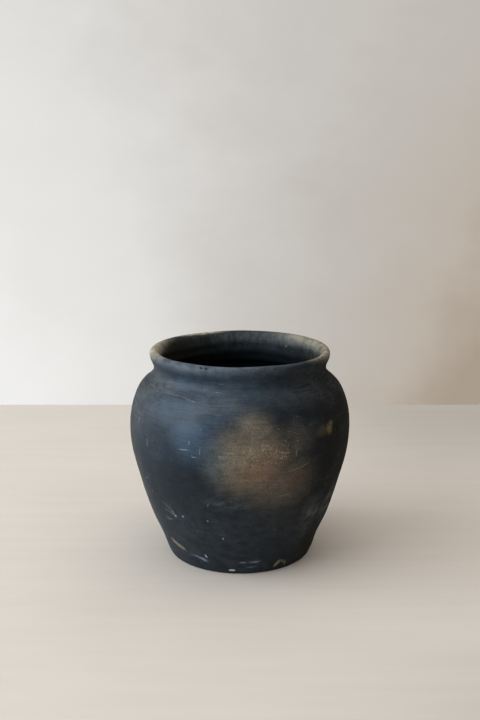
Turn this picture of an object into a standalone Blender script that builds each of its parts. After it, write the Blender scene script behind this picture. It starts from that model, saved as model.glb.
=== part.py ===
"""A round, wide-mouthed pot of smoked black clay, as one closed body.

Run with blender --background --python part.py, or from Blender's text editor. Metres, +Z up. The
origin is the centre of the flat base, on the surface that the pot stands on.

A potter raises such a pot by hand from one mass of wet clay: the base, foot, wall, shoulder, neck and
rolled lip are one piece, and firing makes them one solid. So it is one object here, turned from a
profile that holds the outer side, the lip and the inside.
"""

import math

import bpy
from mathutils import Vector
from mathutils.geometry import interpolate_bezier

# Driving dimensions, in metres.
HEIGHT = 0.2077
BELLY_RADIUS = 0.1094
BELLY_HEIGHT = 0.1310
NECK_RADIUS = 0.0851
LIP_RADIUS = 0.0888
MOUTH_RADIUS = 0.0787
BASE_RADIUS = 0.0698
FLOOR_THICKNESS = 0.0100
FLOOR_RADIUS = 0.0460

# How thick the wall is at the foot, the lower wall, the belly and the shoulder.
FOOT_WALL = 0.0092
LOWER_WALL = 0.0080
BELLY_WALL = 0.0074
SHOULDER_WALL = 0.0070

# The outer side, from the lip down to the base. Each station is a radius, a height and a heading: the
# direction in degrees in which the profile runs there, with 0 outward, 90 up and -90 down.
LIP_EDGE = (LIP_RADIUS, 0.2039, -90)
NECK = (NECK_RADIUS, 0.1894, -90)
NECK_FOOT = (0.0908, 0.1802, -41)
SHOULDER = (0.0985, 0.1725, -57)
BELLY = (BELLY_RADIUS, BELLY_HEIGHT, -90)
LOWER_SIDE = (0.0951, 0.0620, -105.5)
FOOT_TOP = (0.0799, 0.0229, -115.5)
FOOT = (0.0727, 0.0030, -114)
BASE_EDGE = (BASE_RADIUS, 0, -180)
BASE_CENTRE = (0, 0, -180)

# The parts of the inside that don't follow the outer side.
FLOOR_CENTRE = (0, FLOOR_THICKNESS, 0)
FLOOR_EDGE = (FLOOR_RADIUS, FLOOR_THICKNESS, 0)
MOUTH = (MOUTH_RADIUS, 0.1940, 90)
LIP_CREST = (0.0854, HEIGHT, 0)

# How finely the curves are cut into straight pieces.
TURN_STEPS = 60
MOST_BEND = math.radians(16)
LONGEST_EDGE = 0.022
SAME_POINT = 0.0001

CLAY_COLOUR = (0.030, 0.034, 0.042, 1)
CLAY_ROUGHNESS = 0.5


def clear_scene():
    for obj in list(bpy.data.objects):
        bpy.data.objects.remove(obj)


def direction(heading):
    """The unit vector of a heading, in the XZ plane that the profile is drawn in."""
    angle = math.radians(heading)
    return Vector((math.cos(angle), 0, math.sin(angle)))


def inside_of(station, wall):
    """The station on the inside that faces one on the outer side, through a wall of this thickness."""
    radius, height, heading = station
    inward = direction(heading - 90) * wall
    return radius + inward.x, height + inward.z, heading + 180


def stations():
    """Every station, from the middle of the floor up the inside, over the lip and down to the base."""
    inside = [
        FLOOR_CENTRE,
        FLOOR_EDGE,
        inside_of(FOOT_TOP, FOOT_WALL),
        inside_of(LOWER_SIDE, LOWER_WALL),
        inside_of(BELLY, BELLY_WALL),
        inside_of(SHOULDER, SHOULDER_WALL),
        inside_of(NECK_FOOT, SHOULDER_WALL),
        MOUTH,
    ]
    outside = [LIP_CREST, LIP_EDGE, NECK, NECK_FOOT, SHOULDER, BELLY, LOWER_SIDE, FOOT_TOP, FOOT]
    return inside + outside + [BASE_EDGE, BASE_CENTRE]


def curve_between(start, end):
    """Points along the smooth curve that leaves start and reaches end at their headings."""
    first = Vector((start[0], 0, start[1]))
    last = Vector((end[0], 0, end[1]))
    leaving = direction(start[2])
    arriving = direction(end[2])
    bend = leaving.angle(arriving)
    chord = (last - first).length
    # With this handle length the curve is as good as a circle's arc where the ends suit one.
    handle = chord / (3 * math.cos(bend / 4) ** 2)
    pieces = max(math.ceil(bend / MOST_BEND), math.ceil(chord / LONGEST_EDGE))
    return interpolate_bezier(
        first, first + leaving * handle, last - arriving * handle, last, pieces + 1
    )


def profile_points():
    stops = stations()
    points = [Vector((stops[0][0], 0, stops[0][1]))]
    for start, end in zip(stops, stops[1:]):
        points += curve_between(start, end)[1:]
    return points


def turned(name, points, collection):
    """One object turned about Z from a profile in the XZ plane that starts and ends on the axis."""
    mesh = bpy.data.meshes.new(name)
    edges = [(index, index + 1) for index in range(len(points) - 1)]
    mesh.from_pydata(points, edges, [])
    obj = bpy.data.objects.new(name, mesh)
    collection.objects.link(obj)
    screw = obj.modifiers.new("Turn", "SCREW")
    screw.axis = "Z"
    screw.steps = TURN_STEPS
    screw.render_steps = TURN_STEPS
    screw.use_merge_vertices = True
    screw.merge_threshold = SAME_POINT
    screw.use_smooth_shade = True
    return obj


def clay_material():
    material = bpy.data.materials.new("smoked_clay")
    material.use_nodes = True
    shader = material.node_tree.nodes["Principled BSDF"]
    shader.inputs["Base Color"].default_value = CLAY_COLOUR
    shader.inputs["Roughness"].default_value = CLAY_ROUGHNESS
    shader.inputs["Metallic"].default_value = 0
    return material


def build():
    clear_scene()
    collection = bpy.data.collections.new("black_clay_pot")
    bpy.context.scene.collection.children.link(collection)
    pot = turned("clay_pot", profile_points(), collection)
    pot.data.materials.append(clay_material())


build()
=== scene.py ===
"""The looks of the black clay pot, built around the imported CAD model. Metres, +Z up, front towards -Y.

Places on the wall are given as a turn and a height. The turn is in degrees round the pot, with 0 at the
front and positive to the right; the height is in millimetres above the base. Places on the lip are given
as a turn and a distance over the lip: along the profile from its crest, negative inside the pot.
"""

import math
from functools import reduce
from typing import NamedTuple

import bmesh
import bpy
import numpy as np
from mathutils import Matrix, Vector, noise


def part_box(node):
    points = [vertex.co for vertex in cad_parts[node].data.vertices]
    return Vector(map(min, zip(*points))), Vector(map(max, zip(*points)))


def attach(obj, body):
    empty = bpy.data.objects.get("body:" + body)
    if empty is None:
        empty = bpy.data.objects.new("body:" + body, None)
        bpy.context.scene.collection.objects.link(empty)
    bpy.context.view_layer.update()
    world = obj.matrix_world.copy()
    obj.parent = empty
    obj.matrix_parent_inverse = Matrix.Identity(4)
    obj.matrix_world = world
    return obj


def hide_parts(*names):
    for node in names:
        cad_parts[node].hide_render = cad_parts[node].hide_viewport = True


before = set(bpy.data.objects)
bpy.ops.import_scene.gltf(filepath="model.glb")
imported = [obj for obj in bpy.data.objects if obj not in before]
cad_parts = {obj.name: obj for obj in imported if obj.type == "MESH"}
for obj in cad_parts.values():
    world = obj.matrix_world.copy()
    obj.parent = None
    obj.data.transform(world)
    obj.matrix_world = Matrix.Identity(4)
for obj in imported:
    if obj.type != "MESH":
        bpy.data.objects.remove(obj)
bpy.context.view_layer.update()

MM = 0.001
NODE = "clay_pot"
POT_LOW, POT_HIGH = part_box(NODE)
BELLY_RADIUS = (POT_HIGH.x - POT_LOW.x) / 2

# How finely the surface is divided: columns round the pot, and how far apart the rows are. The inside has
# coarse rows up to the neck, the lip and the wall have finer ones, and the chipped foot the finest.
COLUMNS = 330
INSIDE_ROWS = 3.4 * MM
WALL_ROWS = 1.6 * MM
FOOT_ROWS = 0.9 * MM
FLAT_ROWS = 6.0 * MM
FINE_FROM_HEIGHT = 0.165
FOOT_HEIGHT = 0.030

# The camera of the photograph: a 50 mm lens on a 36 mm frame, looking slightly down at the pot.
LENS = 50
SENSOR = 36
CAMERA_PLACE = (0, -0.9636, 0.4182)
CAMERA_PITCH = 13.04


class Patch(NamedTuple):
    """An oval on the wall: its middle, half its size (degrees and mm), tilt, soft edge and strength."""

    turn: float
    height: float
    half_turn: float
    half_height: float
    tilt: float = 0
    soft: float = 0.3
    strength: float = 1


# The brown cloud that the fire left on the front, its red middle and its grey left fringe, and where its
# curling marks and its specks are.
CLOUD = (
    Patch(5, 125, 18, 30, 0, 0.6),
    Patch(7, 153, 9, 15, 0, 0.7, 0.8),
    Patch(19, 103, 15, 23, 0, 0.9, 0.65),
    Patch(26, 141, 10, 15, 0, 0.7, 0.3),
    Patch(26, 72, 12, 20, 0, 0.9, 0.08),
)
CLOUD_RED = (Patch(12, 116, 12, 14, 20, 0.8), Patch(29, 103, 9, 14, 0, 0.8, 0.7))
CLOUD_FRINGE = (Patch(-15, 122, 7, 24, -12, 0.8),)
CLOUD_CURLS = (Patch(12, 131, 16, 9, 0, 0.5),)
CLOUD_SPECKS = (Patch(18, 146, 18, 16, 0, 0.6),)

# Smaller clouds: the ochre spots on the right with a faint halo, and the fainter clouds on the back.
OCHRE_SPOTS = (
    Patch(50.4, 145.5, 2.0, 4.2, -35, 0.9, 0.8),
    Patch(52.2, 149.5, 1.6, 2.4, 20, 0.9, 0.7),
    Patch(46, 145, 5, 4, 0, 0.9, 0.3),
)
BACK_CLOUDS = (
    Patch(147, 96, 17, 27, 15, 0.8, 0.65),
    Patch(156, 112, 10, 15, 0, 0.8, 0.5),
    Patch(-132, 138, 13, 18, -20, 0.9, 0.4),
    Patch(-98, 60, 9, 14, 10, 0.9, 0.25),
)

# Where the clay is olive or brown rather than blue, polished with a stone and given a painted bluish sheen,
# and streaked or hazy with ash, the haze partly a painted sheen on the lit left side.
OLIVE = (Patch(92, 100, 52, 130, 0, 0.35), Patch(-158, 90, 12, 60, 0, 0.7, 0.4))
WARM = (Patch(68, 16, 20, 26, 0, 0.7),)
# The polished patches get a real coat, and also a painted sheen: bluish colour standing for the window's
# reflection.
POLISH_AND_SHEEN = (
    Patch(-24, 148, 12, 25, 30, 0.6, 0.95),
    Patch(-23, 166, 29, 17, 0, 0.7, 0.72),
    Patch(-16, 190, 38, 15, 0, 0.7, 0.7),
    Patch(-46, 138, 20, 30, 20, 0.8, 0.2),
    Patch(128, 140, 22, 26, -20, 0.8, 0.35),
    Patch(-150, 80, 16, 30, 15, 0.8, 0.3),
)
ASH = (
    Patch(62, 62, 8, 12, 38, 0.8),
    Patch(46, 58, 7, 17, -10, 0.8),
    Patch(-8, 81, 9, 6, 0, 0.8, 0.35),
    Patch(162, 60, 9, 14, 0, 0.8, 0.45),
    Patch(-112, 100, 12, 30, 20, 0.8, 0.3),
)
# Haze of ash, partly painted sheen: on the lit left shoulder and edge it is made paler to stand for the
# light's sheen there.
HAZE_AND_SHEEN = (
    Patch(-66, 165, 12, 26, 0, 0.8, 0.3),
    Patch(-54, 181, 14, 5, 0, 0.8, 0.5),
    Patch(-72, 90, 9, 60, 0, 0.8, 0.2),
    Patch(27, 183, 26, 12, 0, 0.8, 0.12),
    Patch(-10, 177, 16, 14, 0, 0.8, 0.32),
)

# Where the clay is paler with a bluish bloom.
PALE = (
    Patch(-42, 40, 38, 36, 0, 0.7, 0.55),
    Patch(-6, 42, 25, 46, 0, 0.7, 0.7),
    Patch(6, 10, 18, 12, 0, 0.8),
    Patch(-145, 120, 20, 50, 0, 0.7, 0.35),
    Patch(145, 40, 20, 26, 0, 0.7, 0.4),
)

# The pale broken line along the seam between the neck's clay and the shoulder's.
SEAM_LINE = (
    Patch(-51, 177.8, 7, 0.5, 2, 0.6, 0.6),
    Patch(-40, 178.3, 6, 0.5, 0, 0.6, 0.5),
    Patch(-30, 177.0, 7, 0.5, -7, 0.6, 0.8),
    Patch(-15, 174.8, 6, 0.4, -3, 0.6, 0.3),
)

# Marks scraped through the smoked skin: each runs from one place on the wall to another, with a width in mm.
SCRATCHES = (
    (-23.6, 127.8, -21.2, 128.2, 0.7),
    (-23.8, 130.5, -23.0, 127.6, 0.7),
    (-25.2, 139, -24.9, 143, 0.7),
    (-19.6, 131, -19.2, 138, 0.6),
    (-30.5, 133.5, -25.5, 134, 0.9),
    (-47.5, 71, -40.2, 60.5, 0.8),
    (-44, 71.5, -40, 61, 0.6),
    (-48, 64.5, -40.5, 60, 0.55),
    (-49.5, 52.5, -44, 54.5, 0.7),
    (-17.4, 78, -16.8, 82, 0.8),
    (-13.5, 191.5, -10, 191.8, 0.3),
    (-15, 184, -11, 184.3, 0.3),
    (-50, 56, -46.5, 54.8, 0.5),
    (102, 92, 109, 96, 0.5),
    (131, 52, 136, 47, 0.5),
    (-116, 120, -110, 125, 0.5),
    (-160, 150, -155, 148, 0.5),
)
# Pale lines across the fire cloud, given in the same way.
CLOUD_LINES = (
    (-10.2, 129.4, -7.2, 128.4, 1.1),
    (-10.6, 131, -8.6, 130.6, 0.7),
    (24, 113.5, 31, 115.5, 0.5),
    (30, 115, 36, 119, 0.6),
    (19, 88, 27, 90, 0.4),
)
# Dots and short flecks in the skin.
DOTS = (
    Patch(-40, 60, 0.75, 1.3),
    Patch(-52.6, 131, 0.8, 3.5, 0, 0.8, 0.3),
    Patch(-34.2, 62, 0.8, 1.0),
    Patch(-18.4, 62, 0.5, 1.0),
    Patch(-10.2, 43, 0.5, 1.2),
    Patch(-60, 91, 0.6, 0.8),
    Patch(-65, 103, 0.5, 1.1, 0, 0.4, 0.7),
    Patch(-58, 78, 0.6, 0.8, 0, 0.4, 0.7),
    Patch(-63, 148, 0.7, 2.4, 0, 0.8, 0.5),
    Patch(20.5, 52, 0.5, 0.8, 0, 0.3, 0.5),
    Patch(118, 130, 0.7, 1.1),
    Patch(-141, 70, 0.8, 1.2),
)


class Chip(NamedTuple):
    """A broken or smeared place on the foot: an oval, how deep it is in mm, and its colour."""

    patch: Patch
    depth: float
    colour: tuple


TAN = (0.155, 0.135, 0.10)
SAND = (0.24, 0.20, 0.125)
CHALK = (0.46, 0.46, 0.43)
SMEAR = (0.12, 0.15, 0.20)
BROWN = (0.16, 0.11, 0.06)
CHIPS = (
    Chip(Patch(-49.5, 22, 7.2, 2.2, -11, 0.3), 0.5, TAN),
    Chip(Patch(-54.5, 24.6, 2.2, 2.2, -30, 0.3), 0.5, TAN),
    Chip(Patch(-24.5, 18, 1.0, 0.9, -50, 0.4, 0.8), 0.3, CHALK),
    Chip(Patch(-30, 15, 5.5, 1.0, -8, 0.5, 0.8), 0, SMEAR),
    Chip(Patch(-26.5, 13.5, 2.2, 1.5, -20, 0.5), 0, SMEAR),
    Chip(Patch(2, 14.2, 2.4, 0.9, 0, 0.4), 0, SMEAR),
    Chip(Patch(10.5, 14, 3.8, 1.1, 2, 0.4), 0, SMEAR),
    Chip(Patch(8.5, 8.2, 3.6, 0.8, 4, 0.5, 0.6), 0, SMEAR),
    Chip(Patch(-6, 4.5, 2.4, 1.1, 0, 0.3), 0.4, CHALK),
    Chip(Patch(28.8, 8.3, 3.1, 2.1, 32, 0.35), 0.7, SAND),
    Chip(Patch(33, 9.6, 2.9, 1.6, -20, 0.4, 0.7), 0.5, TAN),
    Chip(Patch(36.3, 6.3, 0.9, 4, 22, 0.5, 0.8), 0.2, BROWN),
    Chip(Patch(88, 12, 4.5, 1.5, 8, 0.3), 0.5, TAN),
    Chip(Patch(139, 6, 2.4, 1.8, 0, 0.3), 0.5, CHALK),
    Chip(Patch(-121, 9, 5, 1.5, -6, 0.3), 0.5, BROWN),
    Chip(Patch(-158, 14, 1.6, 1.2, 10, 0.3), 0.3, TAN),
)

# On the lip and inside the neck, where the heights are distances over the lip: ochre where the smoke missed
# it, pits, ash, pale dots, a dark olive painted shade on the inner left wall, and a painted bluish sheen on
# the front of the lip.
OCHRE_LIP = (
    Patch(-88, -2, 26, 9, 0, 0.6, 0.9),
    Patch(76, -1.5, 22, 8, 0, 0.6, 0.7),
    Patch(116, -2, 30, 8, 0, 0.6, 0.6),
    Patch(-152, -1.2, 17, 2.4, 0, 0.6),
    Patch(-66, -8, 16, 2, 0, 0.7, 0.8),
)
LIP_PITS = (Patch(-23.6, 3, 1.1, 0.8, 20), Patch(-20.4, 3.3, 0.9, 0.9), Patch(64, 2, 0.9, 0.8))
# The ash crosses the back, where the turn starts again, so it is given from both sides.
LIP_ASH = (Patch(146, -7, 32, 6, 0, 0.8, 0.5), Patch(146 - 360, -7, 32, 6, 0, 0.8, 0.5))
LIP_DOTS = (Patch(142, -15, 0.6, 0.9, 0, 0.4), Patch(-40, -14, 0.5, 0.8, 0, 0.4))
# A painted shade: dark olive on the inner wall at the left, which faces away from the window.
LIP_PAINTED_SHADE = (Patch(-118, -16, 34, 30, 0, 0.8, 0.85),)
# A painted sheen: the bluish reflection on the front of the lip.
LIP_PAINTED_SHEEN = (Patch(-22, 2, 44, 7, 0, 0.7),)


# ------------------------------------------------------------------------------------ the pot's profile

def cad_profile():
    """The CAD node's profile as rows of (radius, height), from the floor's edge over the lip to the base."""
    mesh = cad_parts[NODE].data
    on_plane = 0.001 * MM
    digits = 6
    place = {}
    for vertex in mesh.vertices:
        x, y, z = vertex.co
        if abs(y) < on_plane and x > 0:
            place[vertex.index] = (round(x, digits), round(z, digits))
    joined = {}
    for edge in mesh.edges:
        ends = [place.get(index) for index in edge.vertices]
        if None not in ends and ends[0] != ends[1]:
            joined.setdefault(ends[0], set()).add(ends[1])
            joined.setdefault(ends[1], set()).add(ends[0])
    path = [min(joined)]
    while True:
        ahead = [point for point in joined[path[-1]] if point not in path]
        if not ahead:
            return np.array(path)
        path.append(ahead[0])


class Profile:
    """The pot's smooth profile, read by distance along it."""

    def __init__(self, points):
        steps = np.linalg.norm(np.diff(points, axis=0), axis=1)
        self.stops = np.concatenate([[0], np.cumsum(steps)])
        self.points = points
        self.slopes = np.gradient(points, self.stops, axis=0)
        self.length = self.stops[-1]
        self.crest = self.stops[points[:, 1].argmax()]

    def at(self, distance):
        """(radius, height) at each distance, on a cubic curve through the CAD points."""
        distance = np.clip(distance, 0, self.length)
        index = np.clip(np.searchsorted(self.stops, distance) - 1, 0, len(self.stops) - 2)
        span = (self.stops[index + 1] - self.stops[index])[:, None]
        t = ((distance - self.stops[index])[:, None]) / span
        start, end = self.points[index], self.points[index + 1]
        leaving, arriving = self.slopes[index] * span, self.slopes[index + 1] * span
        return (
            (2 * t**3 - 3 * t**2 + 1) * start
            + (t**3 - 2 * t**2 + t) * leaving
            + (3 * t**2 - 2 * t**3) * end
            + (t**3 - t**2) * arriving
        )

    def normal_at(self, distance):
        """The direction out of the clay, as (outward, up)."""
        nudge = 0.2 * MM
        ahead = self.at(distance + nudge) - self.at(distance - nudge)
        ahead /= np.linalg.norm(ahead, axis=1)[:, None]
        return np.stack([-ahead[:, 1], ahead[:, 0]], axis=1)

    def distance_of_height(self, height, outside):
        """How far along the profile the inner or the outer side first reaches a height."""
        along = np.arange(0, self.length, 0.5 * MM)
        heights = self.at(along)[:, 1]
        reached = (along > self.crest) & (heights < height) if outside else heights > height
        return along[reached][0]


def row_distances(profile):
    """How far along the profile each row is."""
    fine = profile.distance_of_height(FINE_FROM_HEIGHT, outside=False)
    foot = profile.distance_of_height(FOOT_HEIGHT, outside=True)
    inside = np.arange(0, fine, INSIDE_ROWS)
    wall = np.arange(fine, foot, WALL_ROWS)
    return np.concatenate([inside, wall, np.arange(foot, profile.length, FOOT_ROWS), [profile.length]])


# ------------------------------------------------------------------------------------ the pot's surface

class Unevenness(NamedTuple):
    """Smooth noise in the surface: its depth, the size of its features in mm along X, Y and Z, and a seed."""

    depth: float
    sizes: tuple
    seed: int


# How far one seed's noise lies from the next seed's, along X, Y and Z.
UNEVENNESS_SHIFT = (17.3, 5.1, 9.7)

# What the potter's hands leave, with depths in mm. The coils' sway is in radians of their wave.
DENTS = Unevenness(0.45, (45, 45, 30), 1)
HAND_STROKES = Unevenness(0.06, (26, 26, 4.5), 2)
LUMPS = Unevenness(0.07, (9, 9, 7), 3)
COIL_HEIGHT = 11
COIL_DEPTH = 0.35
COIL_SWAY = Unevenness(4, (70, 70, 60), 4)
# How far over the lip, inside the pot, the coils begin and are at their full depth.
COILS_BEGIN = -4 * MM
COILS_FULL = -20 * MM
OUT_OF_ROUND = 0.25
WIDEST_TURN = -35

# The step along the seam between the neck's clay and the shoulder's, in mm. It starts at a height on the
# left, drops by an amount between two turns, and fades out towards the right and lower down.
SEAM_STEP = 0.28
SEAM_HEIGHT = 178
SEAM_DROPS = ((2.4, -38, -20), (3, -20, 0))
SEAM_WAVER = Unevenness(0.35, (18, 18, 30), 5)
SEAM_HALF_WIDTH = 1.2
SEAM_GONE_BELOW = 22
SEAM_FULL_BELOW = 8
SEAM_GONE_TURN = 5
SEAM_FULL_TURN = -28

# Chips are made only where a point is further over the lip than this. The pits' depth is in mm.
CHIPS_BEGIN = 10 * MM
PIT_DEPTH = 0.7

# Up to this height the marks grow from nothing, so that the foot stands on the ground.
STANDING_HEIGHT = 4 * MM

# The lip's waves, each with a height in mm, a number round the lip and a start in degrees. They reach this
# far to each side of the crest.
LIP_WAVES = ((0.25, 3, 40), (0.08, 8, 0))
LIP_REACH = 25 * MM

# The underside is hollow and rough, in mm. The hollow begins at the rim's radius and is full at the next.
BASE_HOLLOW = 0.5
BASE_ROUGHNESS = Unevenness(0.25, (16, 16, 16), 6)
BASE_RIM = 66 * MM
BASE_HOLLOW_FULL = 52 * MM
ON_GROUND = 0.01 * MM


class Surface:
    """The pot's surface as rows and columns of points, with what is needed to shape it."""

    def __init__(self, profile):
        distance = row_distances(profile)
        section, out = profile.at(distance), profile.normal_at(distance)
        over_lip = distance - profile.crest
        floor = np.arange(FLAT_ROWS, section[0, 0] - FLAT_ROWS / 2, FLAT_ROWS)
        base = np.arange(FLAT_ROWS, section[-1, 0] - FLAT_ROWS / 2, FLAT_ROWS)[::-1]
        floor_over_lip = over_lip[0] + floor - section[0, 0]
        base_over_lip = over_lip[-1] + section[-1, 0] - base
        radius = np.concatenate([floor, section[:, 0], base])
        height = np.concatenate([np.full(len(floor), section[0, 1]), section[:, 1], np.zeros(len(base))])
        outward = np.concatenate([np.zeros(len(floor)), out[:, 0], np.zeros(len(base))])
        upward = np.concatenate([np.ones(len(floor)), out[:, 1], -np.ones(len(base))])
        turns = np.arange(COLUMNS) * 2 * math.pi / COLUMNS - math.pi
        across, ahead = np.sin(turns), -np.cos(turns)
        self.turn = np.degrees(turns)[None, :]
        self.over_lip = np.concatenate([floor_over_lip, over_lip, base_over_lip])[:, None]
        self.radius = radius[:, None]
        self.height = height[:, None]
        level = np.ones(COLUMNS)
        self.points = np.stack([self.radius * across, self.radius * ahead, self.height * level], axis=2)
        self.normals = np.stack(
            [outward[:, None] * across, outward[:, None] * ahead, upward[:, None] * level], axis=2
        )

    def uneven(self, unevenness):
        """Smooth noise at each point, from minus its depth to its depth."""
        shift = Vector([unevenness.seed * along for along in UNEVENNESS_SHIFT])
        scaled = self.points.reshape(-1, 3) / (np.array(unevenness.sizes) * MM)
        values = [noise.noise(Vector(point) + shift) for point in scaled]
        return np.array(values).reshape(self.points.shape[:2]) * unevenness.depth

    def inside_oval(self, patch, height):
        """1 inside a patch, 0 outside it and between them on its rim, where height is its other measure."""
        tilt = math.radians(patch.tilt)
        across = np.radians(self.turn - patch.turn) * BELLY_RADIUS / MM
        up = height / MM - patch.height
        along = across * math.cos(tilt) + up * math.sin(tilt)
        aside = up * math.cos(tilt) - across * math.sin(tilt)
        half_width = math.radians(patch.half_turn) * BELLY_RADIUS / MM
        distance = np.hypot(along / half_width, aside / patch.half_height)
        return step(distance, 1.25, 0.75)


def step(value, low, high):
    """0 at low and 1 at high, with a smooth rise between them."""
    t = np.clip((value - low) / (high - low), 0, 1)
    return t * t * (3 - 2 * t)


def potter_marks(surface):
    """What the potter's hands leave, in mm: a wall a little out of round, dents, strokes and coils inside."""
    inside = step(surface.over_lip, COILS_BEGIN, COILS_FULL)
    wave = surface.height / MM * 2 * math.pi / COIL_HEIGHT + surface.uneven(COIL_SWAY)
    coils = inside * COIL_DEPTH * np.cos(wave)
    hands = surface.uneven(DENTS) + surface.uneven(HAND_STROKES) + surface.uneven(LUMPS)
    out_of_round = OUT_OF_ROUND * np.cos(np.radians(2 * (surface.turn - WIDEST_TURN)))
    return hands + coils + out_of_round


def shoulder_seam(surface):
    """The low step, in mm, where the neck's clay was joined to the shoulder's."""
    line = SEAM_HEIGHT
    for drop, start, end in SEAM_DROPS:
        line = line - drop * step(surface.turn, start, end)
    line = (line + surface.uneven(SEAM_WAVER)) * MM
    outside = surface.over_lip > 0
    leftward = step(surface.turn, SEAM_GONE_TURN, SEAM_FULL_TURN)
    rises = step(surface.height, line + SEAM_HALF_WIDTH * MM, line - SEAM_HALF_WIDTH * MM)
    fades = step(surface.height, line - SEAM_GONE_BELOW * MM, line - SEAM_FULL_BELOW * MM)
    return SEAM_STEP * outside * leftward * rises * fades


def chips(surface):
    """How deep, in mm, the surface is broken away at each point of the foot, and pitted on the lip."""
    outside = surface.over_lip > CHIPS_BEGIN
    depth = 0
    for chip in CHIPS:
        depth = depth + outside * chip.depth * surface.inside_oval(chip.patch, surface.height)
    for pit in LIP_PITS:
        depth = depth + PIT_DEPTH * surface.inside_oval(pit, surface.over_lip)
    return depth


def lip_waves(surface):
    """How far up or down the lip goes, in mm."""
    near_crest = step(surface.over_lip, -LIP_REACH, 0) * step(surface.over_lip, LIP_REACH, 0)
    waves = [height * np.sin(np.radians(count * surface.turn + start)) for height, count, start in LIP_WAVES]
    return near_crest * sum(waves)


def base_hollow(surface):
    """How far up the underside goes, in mm, from its rim inwards."""
    base = (surface.over_lip > 0) & (surface.height < ON_GROUND)
    hollow = step(surface.radius, BASE_RIM, BASE_HOLLOW_FULL)
    return base * hollow * (BASE_HOLLOW + surface.uneven(BASE_ROUGHNESS))


def shape_surface(surface):
    """Moves the points as hands, wear and knocks leave them, and keeps the base on the ground."""
    push = potter_marks(surface) + shoulder_seam(surface) - chips(surface)
    standing = np.clip(surface.height / STANDING_HEIGHT, 0, 1)
    points = surface.points + surface.normals * (push * standing)[:, :, None] * MM
    points[:, :, 2] += lip_waves(surface) * MM
    points[:, :, 2] += base_hollow(surface) * MM
    return points


def quads_between_rows(rows):
    """The faces of a grid of points that closes on itself from column to column."""
    column = np.arange(COLUMNS)
    beside = (column + 1) % COLUMNS
    row = np.arange(rows - 1)[:, None] * COLUMNS
    corners = [row + column, row + COLUMNS + column, row + COLUMNS + beside, row + beside]
    return np.stack(corners, axis=2).reshape(-1, 4)


def pot_mesh():
    """The pot's closed surface, with how far each vertex is over the lip as an attribute."""
    surface = Surface(Profile(cad_profile()))
    points = shape_surface(surface)
    rows = len(points)
    centres = [(0, 0, points[0, :, 2].mean()), (0, 0, points[-1, :, 2].mean())]
    vertices = np.concatenate([points.reshape(-1, 3), centres])
    faces = [tuple(quad) for quad in quads_between_rows(rows)]
    floor_centre, base_centre = rows * COLUMNS, rows * COLUMNS + 1
    last = (rows - 1) * COLUMNS
    for column in range(COLUMNS):
        beside = (column + 1) % COLUMNS
        faces.append((floor_centre, column, beside))
        faces.append((base_centre, last + beside, last + column))
    mesh = bpy.data.meshes.new("pot_surface")
    mesh.from_pydata(vertices.tolist(), [], faces)
    over_lip = np.repeat(surface.over_lip, COLUMNS)
    over_lip = np.concatenate([over_lip, over_lip[:1], over_lip[-1:]])
    mesh.attributes.new("over_lip", "FLOAT", "POINT").data.foreach_set("value", over_lip)
    mesh.shade_smooth()
    mesh.update()
    return mesh


# ------------------------------------------------------------------------------------ nodes

class Pattern(NamedTuple):
    """Soft noise in a material: feature sizes in mm along X, Y and Z, a seed, and its finer detail."""

    sizes: tuple
    seed: int
    detail: float = 3
    roughness: float = 0.55


class Speckle(NamedTuple):
    """Dots: their spacing in mm, a seed, their radius as a part of it, and what share of them is there."""

    spacing: float
    seed: int
    radius: float
    share: float


class Wander(NamedTuple):
    """How the edges of patches wander: how far in mm, over what length in mm, and a seed."""

    reach: float
    size: float
    seed: int


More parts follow.
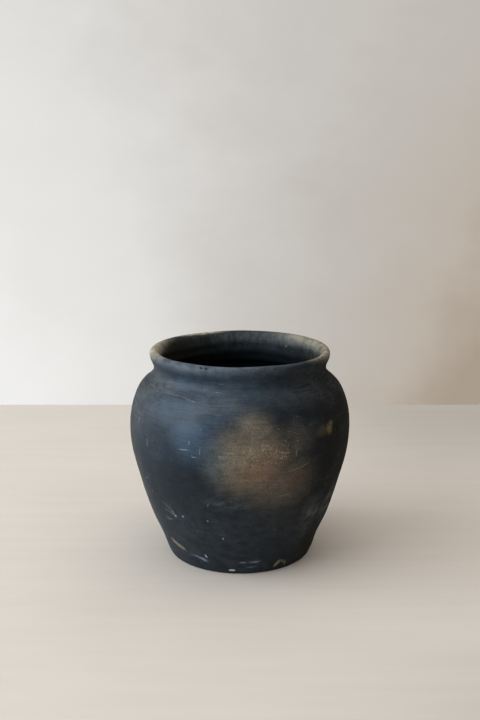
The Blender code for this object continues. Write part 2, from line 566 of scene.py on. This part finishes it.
class Nodes:
    """Adds nodes to a tree. A value is a number, vector or colour, or the output of a node added before."""

    # The Mix node's sockets for colours: its factor, its two inputs, and its output.
    MIX_FACTOR, MIX_UNDER, MIX_OVER, MIX_COLOUR = 0, 6, 7, 2
    # How far one seed's pattern lies from the next seed's, along X, Y and Z.
    SHIFT = (7.3, 3.1, 5.7)

    def __init__(self, tree):
        self.tree = tree

    def feed(self, socket, value):
        """Links an output to the socket, or sets the socket to a value."""
        if isinstance(value, bpy.types.NodeSocket):
            self.tree.links.new(value, socket)
        else:
            socket.default_value = value

    def add(self, kind, values, output=0, **settings):
        """Adds a node, feeds its inputs, and gives one of its outputs."""
        node = self.tree.nodes.new("ShaderNode" + kind)
        for name, setting in settings.items():
            setattr(node, name, setting)
        for place, value in values.items():
            self.feed(node.inputs[place], value)
        return node.outputs[output]

    def math(self, operation, first, second=0.0):
        return self.add("Math", {0: first, 1: second}, operation=operation)

    def times(self, *values):
        return reduce(lambda first, second: self.math("MULTIPLY", first, second), values)

    def plus(self, *values):
        return reduce(lambda first, second: self.math("ADD", first, second), values)

    def most(self, *values):
        """The greatest of the values."""
        return reduce(lambda first, second: self.math("MAXIMUM", first, second), values)

    def off_middle(self, pattern):
        """How far a pattern is above or below its middle."""
        return self.math("SUBTRACT", pattern, 0.5)

    def rise(self, value, low, high, least=0.0, greatest=1.0):
        """Goes smoothly from least to greatest as the value goes from low to high."""
        ends = {"Value": value, "From Min": low, "From Max": high, "To Min": least, "To Max": greatest}
        return self.add("MapRange", ends, interpolation_type="SMOOTHSTEP")

    def paint(self, under, over, mask):
        """One colour over another, where the mask is above 0."""
        values = {self.MIX_UNDER: under, self.MIX_OVER: over, self.MIX_FACTOR: mask}
        return self.add("Mix", values, self.MIX_COLOUR, data_type="RGBA")

    def ramp(self, value, stops):
        """The colour that a value stands for, between stops that are each a value and a colour."""
        node = self.add("ValToRGB", {0: value}).node
        elements = node.color_ramp.elements
        while len(elements) < len(stops):
            elements.new(0.5)
        for element, (position, colour) in zip(elements, stops):
            element.position = position
            element.color = colour
        return node.outputs[0]

    def shade(self, colour, amount):
        """The colour made darker or lighter by an amount that is 1 where it stays."""
        return self.add("HueSaturation", {"Color": colour, "Value": amount})

    def scaled(self, vector, sizes, seed):
        """The vector in steps of these sizes, in mm, moved by the seed to another part of a pattern."""
        scale = tuple(1 / (size * MM) for size in sizes)
        shift = tuple(seed * along for along in self.SHIFT)
        return self.add("Mapping", {"Vector": vector, "Location": shift, "Scale": scale})

    def noise(self, vector, pattern):
        """A pattern of values about 0.5."""
        values = {
            "Vector": self.scaled(vector, pattern.sizes, pattern.seed),
            "Scale": 1.0,
            "Detail": pattern.detail,
            "Roughness": pattern.roughness,
        }
        return self.add("TexNoise", values)

    def dots(self, vector, speckle):
        """A speckle's dots as a mask."""
        cells = self.scaled(vector, (speckle.spacing,) * 3, speckle.seed)
        distance = self.add("TexVoronoi", {"Vector": cells, "Scale": 1.0})
        chance = self.add("SeparateColor", {0: distance.node.outputs["Color"]})
        chosen = self.math("LESS_THAN", chance, speckle.share)
        return self.times(self.rise(distance, speckle.radius * 1.4, speckle.radius * 0.6), chosen)

    def hairs(self, pattern, width):
        """Fine lines along the middle of a pattern, whose width is a part of the pattern's range."""
        apart = self.math("ABSOLUTE", self.off_middle(pattern))
        return self.rise(apart, width, width * 0.3)

    def oval(self, plane, patch):
        """A patch's mask on a plane whose X is the way round and whose Y is the height, in metres."""
        gradient = self.add("TexGradient", {"Vector": plane}, "Fac", gradient_type="SPHERICAL")
        reach = 1 + patch.soft
        mapping = gradient.node.texture_mapping
        mapping.vector_type = "TEXTURE"
        mapping.translation = (math.radians(patch.turn) * BELLY_RADIUS, patch.height * MM, 0)
        mapping.rotation = (0, 0, math.radians(patch.tilt))
        mapping.scale = (
            math.radians(patch.half_turn) * BELLY_RADIUS * reach, patch.half_height * MM * reach, 1
        )
        return self.rise(gradient, 0, 2 * patch.soft / reach, 0, patch.strength)

    def ovals(self, plane, patches):
        """Each mask is joined to the ones before at once, because few values can wait at a time."""
        mask = self.oval(plane, patches[0])
        for patch in patches[1:]:
            mask = self.most(mask, self.oval(plane, patch))
        return mask

    def ragged(self, plane, vector, wander):
        """The plane with its points moved about by noise, so that the edges of patches wander."""
        cells = self.scaled(vector, (wander.size,) * 3, wander.seed)
        waves = self.add("TexNoise", {"Vector": cells, "Scale": 1.0, "Detail": 3.0}, "Color")
        parts = self.add("SeparateColor", {0: waves}).node.outputs
        full_reach = 2 * wander.reach * MM
        moves = {
            "X": self.times(self.off_middle(parts["Red"]), full_reach),
            "Y": self.times(self.off_middle(parts["Green"]), full_reach),
        }
        return self.add("VectorMath", {0: plane, 1: self.add("CombineXYZ", moves)}, operation="ADD")


def new_material(name):
    material = bpy.data.materials.new(name)
    material.use_nodes = True
    return material


# ------------------------------------------------------------------------------------ the clay

BLUE_BLACK = (0.0120, 0.0158, 0.0205, 1)
OLIVE_BLACK = (0.0085, 0.0080, 0.0055, 1)
WARM_BLACK = (0.0140, 0.0112, 0.0045, 1)
BLOOM = (0.029, 0.035, 0.043, 1)
# A painted sheen: the bluish colour of the window's reflection on the polished clay.
PAINTED_SHEEN_BLUE = (0.020, 0.042, 0.075, 1)
# Ash grey, also used for the haze that is partly a painted sheen on the lit left side.
ASH_AND_SHEEN_GREY = (0.110, 0.120, 0.125, 1)
CLOUD_BROWN = (0.162, 0.136, 0.101, 1)
CLOUD_REDDISH = (0.172, 0.118, 0.080, 1)
CLOUD_GREY = (0.115, 0.132, 0.135, 1)
CLOUD_MARK = (0.42, 0.32, 0.19, 1)
OCHRE = (0.16, 0.128, 0.055, 1)
LIP_OCHRE = (0.33, 0.295, 0.215, 1)
LIP_GREY = (0.13, 0.14, 0.14, 1)
# Dark olive for the painted shade inside the neck on the left.
PAINTED_SHADE_OLIVE = (0.020, 0.020, 0.014, 1)
# Painted sheen colour for the front of the lip.
PAINTED_LIP_SHEEN_BLUE = (0.075, 0.095, 0.118, 1)
SCRATCH = (0.16, 0.18, 0.19, 1)
SEAM = (0.115, 0.13, 0.135, 1)
LINE = (0.085, 0.10, 0.115, 1)
DUST = (0.15, 0.145, 0.125, 1)

# The patterns in the clay. The strokes run round the pot, the drips down it, and the wisps at a slant.
BLOTCHES = Pattern((38, 38, 30), 11)
MOTTLE = Pattern((10, 10, 8), 12, 4, 0.6)
STROKES = Pattern((22, 22, 1.3), 13, 3, 0.6)
DRIPS = Pattern((3.2, 3.2, 34), 14, 2)
GRAIN = Pattern((1.7, 1.7, 1.4), 15, 3, 0.65)
WISPS = Pattern((14, 1.6, 14), 16)
WISP_SLANT = -35
CURLS = Pattern((4.5, 4.5, 7), 21, 1.5)
CURL_WIDTH = 0.026
CLOUD_SPECKLE = Speckle(2.8, 22, 0.17, 0.4)
FINE_DUST = Speckle(6, 31, 0.055, 0.4)
COARSE_DUST = Speckle(14, 32, 0.035, 0.6)

# How the edges of soft and sharp marks on the wall, and of marks on the lip, wander.
SOFT_EDGES = Wander(4, 22, 1)
SHARP_EDGES = Wander(0.7, 2.2, 2)
LIP_EDGES = Wander(1.6, 9, 3)

# How strongly each layer shows, from 0 to 1.
BLOTCH_AMOUNT = 0.6
DRIP_AMOUNT = 0.5
ASH_AMOUNT = 0.9
CLOUD_MARK_AMOUNT = 0.55
CLOUD_LINE_AMOUNT = 0.4
LIP_ASH_AMOUNT = 0.7
SEAM_AMOUNT = 0.9
DUST_AMOUNT = 0.6

# The finish: how rough the clay is, and what clouds, polish, olive clay and mottling add to that.
ROUGHNESS = 0.58
CLOUD_ROUGHNESS = 0.10
POLISH_ROUGHNESS = -0.08
OLIVE_ROUGHNESS = 0.30
MOTTLE_ROUGHNESS = 0.2
POLISH_COAT = 0.4
COAT_ROUGHNESS = 0.36
SPECULAR_LEVEL = 0.13
SPECULAR_TINT = (0.72, 0.88, 1, 1)

# How far each pattern or mark stands out of the surface, or goes into it.
STROKE_RELIEF = 0.08 * MM
GRAIN_RELIEF = 0.08 * MM
MOTTLE_RELIEF = 0.22 * MM
SCRATCH_RELIEF = -0.08 * MM
PIT_RELIEF = -0.25 * MM


class Clay(Nodes):
    """The nodes that the layers of the clay share: where a point is, and the patterns in the clay."""

    def __init__(self, tree):
        super().__init__(tree)
        self.place = self.add("TexCoord", {}, "Object")
        axes = self.add("SeparateXYZ", {0: self.place}).node.outputs
        self.height = axes["Z"]
        way_round = self.math("ARCTAN2", axes["X"], self.times(axes["Y"], -1))
        arc = self.times(way_round, BELLY_RADIUS)
        self.over_lip = self.add("Attribute", {}, "Fac", attribute_name="over_lip")
        wall = self.add("CombineXYZ", {"X": arc, "Y": self.height})
        lip = self.add("CombineXYZ", {"X": arc, "Y": self.over_lip})
        self.outside = self.rise(self.over_lip, -1 * MM, 3 * MM)
        self.inside = self.rise(self.over_lip, -2 * MM, -9 * MM)

        self.soft_wall = self.ragged(wall, self.place, SOFT_EDGES)
        self.sharp_wall = self.ragged(wall, self.place, SHARP_EDGES)
        self.sharp_lip = self.ragged(lip, self.place, LIP_EDGES)

        self.blotches = self.noise(self.place, BLOTCHES)
        self.mottle = self.noise(self.place, MOTTLE)
        self.strokes = self.noise(self.place, STROKES)
        self.drips = self.noise(self.place, DRIPS)
        self.grain = self.noise(self.place, GRAIN)
        slant = (0, 0, math.radians(WISP_SLANT))
        self.wisps = self.noise(self.add("Mapping", {"Vector": wall, "Rotation": slant}), WISPS)


def smoked_skin(n):
    """Blue-black clay, olive and brown on the right, with a paler bloom. Also gives how olive it is."""
    olive = n.ovals(n.soft_wall, OLIVE)
    colour = n.paint(BLUE_BLACK, OLIVE_BLACK, olive)
    colour = n.paint(colour, WARM_BLACK, n.ovals(n.soft_wall, WARM))
    blotches = n.times(n.rise(n.blotches, 0.40, 0.72), n.rise(n.mottle, 0.35, 0.7), BLOTCH_AMOUNT)
    colour = n.paint(colour, BLOOM, n.times(blotches, n.rise(n.strokes, 0.2, 0.6, least=0.6)))
    drips = n.times(n.rise(n.drips, 0.55, 0.8), n.rise(n.mottle, 0.45, 0.7), DRIP_AMOUNT)
    colour = n.paint(colour, BLOOM, drips)
    pale = n.times(n.ovals(n.soft_wall, PALE), n.rise(n.mottle, 0.3, 0.65, least=0.4))
    return n.paint(colour, BLOOM, pale), olive


def with_polish_and_painted_sheen(n, colour):
    """The places that were polished with a stone, with a painted bluish sheen in their colour. Also gives how
    polished the clay is.
    """
    polish_and_sheen = n.times(n.ovals(n.soft_wall, POLISH_AND_SHEEN), n.outside, n.rise(n.strokes, 0.2, 0.6, least=0.8))
    # Painted sheen: the bluish colour laid over the polished places.
    painted_sheen = n.times(polish_and_sheen, n.rise(n.mottle, 0.3, 0.6, least=0.75))
    return n.paint(colour, PAINTED_SHEEN_BLUE, painted_sheen), polish_and_sheen


def with_ash(n, colour):
    """Ash in broken slanting wisps, and a haze of it in strokes round the pot, which on the lit left side is
    partly a painted sheen.
    """
    wisps = n.times(
        n.rise(n.mottle, 0.32, 0.62, least=0.3), n.rise(n.wisps, 0.42, 0.62, least=0.3), ASH_AMOUNT
    )
    ash = n.times(n.ovals(n.soft_wall, ASH), wisps)
    hazy = n.times(n.rise(n.strokes, 0.3, 0.6, least=0.5), n.rise(n.mottle, 0.3, 0.6, least=0.6))
    # The haze, partly a painted sheen on the lit left side.
    haze_and_sheen = n.times(n.ovals(n.soft_wall, HAZE_AND_SHEEN), hazy)
    return n.paint(colour, ASH_AND_SHEEN_GREY, n.times(n.most(ash, haze_and_sheen), n.outside))


def with_clouds(n, colour):
    """The brown clouds that the fire left, redder or greyer in places. Also gives how cloudy the clay is."""
    clouds = n.ovals(n.soft_wall, CLOUD + BACK_CLOUDS)
    broken = n.plus(n.times(n.strokes, 0.3), n.times(n.grain, 0.45), n.times(n.mottle, 0.25))
    broken = n.rise(broken, 0.34, 0.56, least=0.82)
    clouds = n.times(clouds, n.outside, broken)
    tone = n.paint(CLOUD_BROWN, CLOUD_REDDISH, n.ovals(n.soft_wall, CLOUD_RED))
    tone = n.paint(tone, CLOUD_GREY, n.ovals(n.soft_wall, CLOUD_FRINGE))
    return n.paint(colour, tone, clouds), clouds


def with_cloud_marks(n, colour):
    """Pale curls, specks and lines on the front cloud, and the ochre spots to the right of it."""
    curls = n.hairs(n.noise(n.place, CURLS), CURL_WIDTH)
    curls = n.times(curls, n.rise(n.blotches, 0.35, 0.5, least=0.3), n.ovals(n.soft_wall, CLOUD_CURLS))
    specks = n.times(n.dots(n.place, CLOUD_SPECKLE), n.ovals(n.soft_wall, CLOUD_SPECKS))
    marks = n.times(n.most(curls, specks), CLOUD_MARK_AMOUNT)
    lines = n.times(n.ovals(n.sharp_wall, scratch_patches(CLOUD_LINES)), CLOUD_LINE_AMOUNT)
    colour = n.paint(colour, CLOUD_MARK, n.times(n.most(marks, lines), n.outside))
    ochre = n.times(n.ovals(n.sharp_wall, OCHRE_SPOTS), n.outside, n.rise(n.grain, 0.3, 0.6, least=0.5))
    return n.paint(colour, OCHRE, ochre)


def with_lip(n, colour):
    """The grey inside of the neck, with a dark olive painted shade on its left, ash, the painted sheen on the
    front of the lip, and the lip's ochre.
    """
    fade = n.rise(n.over_lip, -24 * MM, -4 * MM)
    neck = n.times(n.inside, fade, n.rise(n.drips, 0.3, 0.65, least=0.35))
    grey = n.times(neck, n.rise(n.blotches, 0.3, 0.6, least=0.2, greatest=0.55))
    colour = n.paint(colour, LIP_GREY, grey)
    # Painted shade on the inner wall at the left, away from the window.
    colour = n.paint(colour, PAINTED_SHADE_OLIVE, n.times(n.ovals(n.sharp_lip, LIP_PAINTED_SHADE), n.inside))
    ash = n.times(n.ovals(n.sharp_lip, LIP_ASH), n.rise(n.drips, 0.3, 0.6, least=0.4), LIP_ASH_AMOUNT)
    colour = n.paint(colour, LIP_GREY, ash)
    # Painted sheen on the front of the lip.
    painted_lip_sheen = n.times(n.ovals(n.sharp_lip, LIP_PAINTED_SHEEN), n.rise(n.mottle, 0.3, 0.6, least=0.5, greatest=0.9))
    colour = n.paint(colour, PAINTED_LIP_SHEEN_BLUE, painted_lip_sheen)
    ochre = n.times(n.ovals(n.sharp_lip, OCHRE_LIP), n.rise(n.mottle, 0.25, 0.6, least=0.55))
    return n.paint(colour, LIP_OCHRE, ochre)


def with_stone_lines(n, colour):
    """Fine lines that the polishing stone left, mostly on the neck and the shoulder."""
    lines = n.rise(n.math("ABSOLUTE", n.off_middle(n.strokes)), 0.022, 0.006)
    upper = n.rise(n.height, 0.12, 0.19, least=0.15, greatest=0.35)
    lines = n.times(lines, n.rise(n.blotches, 0.42, 0.60), upper, n.outside)
    return n.paint(colour, LINE, lines)


def scratch_patches(scratches):
    """The thin ovals that cover scratches from their one end to their other."""
    patches = []
    for turn_a, height_a, turn_b, height_b, width in scratches:
        middle = (turn_a + turn_b) / 2, (height_a + height_b) / 2
        across = math.radians(turn_b - turn_a) * BELLY_RADIUS / MM
        up = height_b - height_a
        half_turn = math.degrees(math.hypot(across, up) / 2 * MM / BELLY_RADIUS)
        tilt = math.degrees(math.atan2(up, across))
        patches.append(Patch(*middle, half_turn, width / 2, tilt, 0.45))
    return patches


def with_scratches(n, colour):
    """Scratches and flecks through the skin. Also gives where they are, for their depth."""
    scraped = n.ovals(n.sharp_wall, scratch_patches(SCRATCHES))
    scraped = n.most(scraped, n.ovals(n.sharp_wall, DOTS))
    scraped = n.times(scraped, n.outside, n.rise(n.grain, 0.3, 0.55, least=0.25))
    return n.paint(colour, SCRATCH, scraped), scraped


def with_seam_and_dust(n, colour):
    """The broken pale line along the shoulder's seam, and dust all over."""
    seam = n.times(n.ovals(n.sharp_wall, SEAM_LINE), n.outside, n.rise(n.grain, 0.35, 0.6), SEAM_AMOUNT)
    colour = n.paint(colour, SEAM, seam)
    dust = n.most(n.dots(n.place, FINE_DUST), n.dots(n.place, COARSE_DUST))
    return n.paint(colour, DUST, n.times(dust, DUST_AMOUNT))


def with_chips(n, colour):
    """The broken and smeared places on the foot."""
    for chip in CHIPS:
        mask = n.times(n.oval(n.sharp_wall, chip.patch), n.outside, n.rise(n.grain, 0.2, 0.45, least=0.7))
        colour = n.paint(colour, (*chip.colour, 1), mask)
    return colour


def with_pits(n, colour):
    """Dark pits and pale dots on the lip. Also gives where the pits are, for their depth."""
    pits = n.ovals(n.sharp_lip, LIP_PITS)
    colour = n.paint(colour, OLIVE_BLACK, pits)
    return n.paint(colour, DUST, n.ovals(n.sharp_lip, LIP_DOTS)), pits


def with_unevenness(n, colour):
    """The colour a little darker and lighter from place to place."""
    mixed = n.plus(n.times(n.grain, 0.8), n.times(n.mottle, 0.5), n.times(n.strokes, 0.4))
    return n.shade(colour, n.rise(mixed, 0.62, 1.08, least=0.75, greatest=1.25))


def set_finish(n, shader, clouds, polish_and_sheen, olive):
    """How dull or glossy the clay is. Only polished clay that isn't clouded has a coat."""
    dull = n.plus(
        ROUGHNESS,
        n.times(clouds, CLOUD_ROUGHNESS),
        n.times(polish_and_sheen, POLISH_ROUGHNESS),
        n.times(olive, OLIVE_ROUGHNESS),
    )
    n.feed(shader.inputs["Roughness"], n.plus(dull, n.times(n.off_middle(n.mottle), MOTTLE_ROUGHNESS)))
    clear = n.rise(clouds, 0.0, 0.5, least=1, greatest=0)
    n.feed(shader.inputs["Coat Weight"], n.times(polish_and_sheen, clear, POLISH_COAT))
    shader.inputs["Coat Roughness"].default_value = COAT_ROUGHNESS
    shader.inputs["Specular IOR Level"].default_value = SPECULAR_LEVEL
    shader.inputs["Specular Tint"].default_value = SPECULAR_TINT


def set_relief(n, shader, scraped, pits):
    """Fine relief, as heights in metres."""
    height = n.plus(
        n.times(n.strokes, STROKE_RELIEF),
        n.times(n.grain, GRAIN_RELIEF),
        n.times(n.mottle, MOTTLE_RELIEF),
        n.times(scraped, SCRATCH_RELIEF),
        n.times(pits, PIT_RELIEF),
    )
    normal = n.add("Bump", {"Height": height, "Distance": 1.0, "Strength": 1.0})
    n.feed(shader.inputs["Normal"], normal)


def clay_material():
    """The smoked clay, layer over layer."""
    material = new_material("smoked_clay")
    shader = material.node_tree.nodes["Principled BSDF"]
    n = Clay(material.node_tree)
    colour, olive = smoked_skin(n)
    colour, polish_and_sheen = with_polish_and_painted_sheen(n, colour)
    colour = with_ash(n, colour)
    colour, clouds = with_clouds(n, colour)
    colour = with_cloud_marks(n, colour)
    colour = with_lip(n, colour)
    colour = with_stone_lines(n, colour)
    colour, scraped = with_scratches(n, colour)
    colour = with_seam_and_dust(n, colour)
    colour = with_chips(n, colour)
    colour, pits = with_pits(n, colour)
    n.feed(shader.inputs["Base Color"], with_unevenness(n, colour))
    set_finish(n, shader, clouds, polish_and_sheen, olive)
    set_relief(n, shader, scraped, pits)
    return material


# ------------------------------------------------------------------------------------ the studio

WINDOW_WIDTH = 2.2
WINDOW_HEIGHT = 1.9
WINDOW_PLACE = (-1.5, -0.45, 1.0)
WINDOW_WATTS = 56
WINDOW_COLOUR = (0.86, 0.94, 1.0)

# The light from above, and the two values of a direction's Z between which it takes over from the walls.
OVERHEAD = (1.30, 1.26, 1.20, 1)
OVERHEAD_BEGINS = 0.4
OVERHEAD_FULL = 0.95

# The light of the room's walls, from its darkest side to its brightest. It leans to the left, the more so
# the lower a direction is, and to behind the pot.
ROOM_LEFT = 0.8
ROOM_LOWER = 3
ROOM_BEHIND = 0.6
ROOM = (
    (0.00, (0.060, 0.055, 0.050, 1)),
    (0.30, (0.090, 0.080, 0.070, 1)),
    (0.50, (0.160, 0.135, 0.110, 1)),
    (0.60, (0.310, 0.255, 0.205, 1)),
    (0.66, (0.450, 0.385, 0.325, 1)),
    (0.72, (0.530, 0.485, 0.440, 1)),
    (0.80, (0.630, 0.600, 0.570, 1)),
    (0.88, (0.790, 0.780, 0.760, 1)),
    (1.00, (0.930, 0.925, 0.910, 1)),
)

# The backdrop glows with painted light, whose colours run from right to left: darker on the right, away from
# the window. They change faster below the height of the eye.
BACKDROP_RADIUS = 3.2
BACKDROP_HEIGHT = 9
BACKDROP_SIDES = 96
BACKDROP_LEFT = 0.8
BACKDROP_LOWER = 2.4
EYE_HEIGHT = 0.42
PLASTER = Pattern((420, 420, 300), 51, 5, 0.6)
PLASTER_AMOUNT = 0.16
# The painted light's colours, from the dark right to the bright left.
BACKDROP_PAINTED_LIGHT = (
    (0.09, (0.400, 0.330, 0.265, 1)),
    (0.21, (0.500, 0.445, 0.385, 1)),
    (0.35, (0.520, 0.490, 0.450, 1)),
    (0.50, (0.610, 0.585, 0.555, 1)),
    (0.65, (0.750, 0.740, 0.720, 1)),
    (0.77, (0.800, 0.790, 0.770, 1)),
    (0.91, (0.870, 0.865, 0.850, 1)),
)

# The table top: it ends on the left before it reaches the window, and behind the pot a little way off.
FLOOR_LEFT = -1.3
FLOOR_RIGHT = 4
FLOOR_FRONT = -4
FLOOR_BACK = 0.534
TABLE_DARK = (0.50, 0.455, 0.41, 1)
TABLE_LIGHT = (0.60, 0.555, 0.505, 1)
TABLE_GRAIN = Pattern((180, 14, 14), 41, 5, 0.6)
TABLE_CLOUDS = Pattern((160, 160, 160), 42)
TABLE_ROUGHNESS = 0.8
TABLE_SPECULAR = 0.2


def floor_material():
    """A pale table top with a faint grain from left to right, and a painted shadow that darkens it on the
    right, both far and near.
    """
    material = new_material("floor")
    n = Nodes(material.node_tree)
    place = n.add("TexCoord", {}, "Object")
    grain = n.noise(place, TABLE_GRAIN)
    clouds = n.noise(place, TABLE_CLOUDS)
    pattern = n.plus(n.times(grain, 0.6), n.times(clouds, 0.4))
    colour = n.paint(TABLE_DARK, TABLE_LIGHT, pattern)
    axes = n.add("SeparateXYZ", {0: place}).node.outputs
    # Painted shadow: darker on the right of the table, far and near.
    far = n.rise(axes["Y"], 0.10, 0.45, 0, 0.24)
    near = n.rise(axes["Y"], -0.12, -0.30, 0, 0.12)
    painted_shadow = n.times(n.plus(far, near), n.rise(axes["X"], -0.05, 0.28), -1)
    shader = material.node_tree.nodes["Principled BSDF"]
    n.feed(shader.inputs["Base Color"], n.shade(colour, n.plus(painted_shadow, 1)))
    shader.inputs["Roughness"].default_value = TABLE_ROUGHNESS
    shader.inputs["Specular IOR Level"].default_value = TABLE_SPECULAR
    return material


def painted_light_backdrop_material():
    """Pale plaster that glows with painted light, darkening to the right behind the pot, away from the
    window, the more so the lower it is.
    """
    material = new_material("backdrop")
    tree = material.node_tree
    n = Nodes(tree)
    place = n.add("TexCoord", {}, "Object")
    axes = n.add("SeparateXYZ", {0: place}).node.outputs
    lower = n.plus(1, n.times(n.plus(axes["Z"], -EYE_HEIGHT), -BACKDROP_LOWER / BACKDROP_RADIUS))
    behind = n.rise(axes["Y"], -1, 1.5, least=0.25)
    leftward = n.times(axes["X"], lower, behind, -BACKDROP_LEFT / BACKDROP_RADIUS)
    plaster = n.plus(n.times(n.noise(place, PLASTER), PLASTER_AMOUNT), -PLASTER_AMOUNT / 2)
    # Painted light: the plaster glows brighter on the left, towards the window.
    light = n.add("Emission", {"Color": n.ramp(n.plus(leftward, plaster, 0.5), BACKDROP_PAINTED_LIGHT)})
    tree.nodes.remove(tree.nodes["Principled BSDF"])
    tree.links.new(light, tree.nodes["Material Output"].inputs["Surface"])
    return material


def add_object(name, data):
    thing = bpy.data.objects.new(name, data)
    bpy.context.scene.collection.objects.link(thing)
    return thing


def add_camera():
    data = bpy.data.cameras.new("camera")
    data.lens = LENS
    data.sensor_width = SENSOR
    camera = add_object("camera", data)
    camera.location = CAMERA_PLACE
    camera.rotation_euler = (math.radians(90 - CAMERA_PITCH), 0, 0)
    bpy.context.scene.camera = camera


def add_floor():
    mesh = bpy.data.meshes.new("floor")
    corners = [
        (FLOOR_LEFT, FLOOR_FRONT, 0),
        (FLOOR_RIGHT, FLOOR_FRONT, 0),
        (FLOOR_RIGHT, FLOOR_BACK, 0),
        (FLOOR_LEFT, FLOOR_BACK, 0),
    ]
    mesh.from_pydata(corners, [], [(0, 1, 2, 3)])
    mesh.materials.append(floor_material())
    add_object("floor", mesh)


def add_window():
    """A wide soft light on the left, turned level towards the pot's axis."""
    data = bpy.data.lights.new("window", "AREA")
    data.shape = "RECTANGLE"
    data.size = WINDOW_WIDTH
    data.size_y = WINDOW_HEIGHT
    data.energy = WINDOW_WATTS
    data.color = WINDOW_COLOUR
    light = add_object("window", data)
    light.location = WINDOW_PLACE
    level_with_it = Vector((0, 0, WINDOW_PLACE[2]))
    light.rotation_euler = (level_with_it - light.location).to_track_quat("-Z", "Y").to_euler()
    light.visible_camera = False


def add_room():
    """The light of the room's walls and of what is above, from the world."""
    world = bpy.data.worlds.new("room")
    world.use_nodes = True
    bpy.context.scene.world = world
    n = Nodes(world.node_tree)
    direction = n.add("TexCoord", {}, "Generated")
    axes = n.add("SeparateXYZ", {0: direction}).node.outputs
    leftward = n.times(axes["X"], n.plus(1, n.times(axes["Z"], -ROOM_LOWER)), -ROOM_LEFT)
    lean = n.plus(leftward, n.times(axes["Y"], ROOM_BEHIND))
    walls = n.ramp(n.plus(n.times(lean, 0.5), 0.5), ROOM)
    light = n.paint(walls, OVERHEAD, n.rise(axes["Z"], OVERHEAD_BEGINS, OVERHEAD_FULL))
    n.feed(world.node_tree.nodes["Background"].inputs["Color"], light)


def add_backdrop():
    """A pale round wall, far off, which only the camera sees: the room's own light comes from the world."""
    mesh = bpy.data.meshes.new("backdrop")
    shape = bmesh.new()
    bmesh.ops.create_cone(
        shape,
        segments=BACKDROP_SIDES,
        radius1=BACKDROP_RADIUS,
        radius2=BACKDROP_RADIUS,
        depth=BACKDROP_HEIGHT,
    )
    shape.to_mesh(mesh)
    shape.free()
    mesh.shade_smooth()
    mesh.materials.append(painted_light_backdrop_material())
    backdrop = add_object("backdrop", mesh)
    backdrop.visible_diffuse = False
    backdrop.visible_glossy = False
    backdrop.visible_shadow = False


# ------------------------------------------------------------------------------------ the scene

pot = add_object("pot", pot_mesh())
pot.data.materials.append(clay_material())
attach(pot, "root")
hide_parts(NODE)

add_camera()
add_floor()
add_window()
add_room()
add_backdrop()
bpy.context.scene.view_settings.view_transform = "Standard"
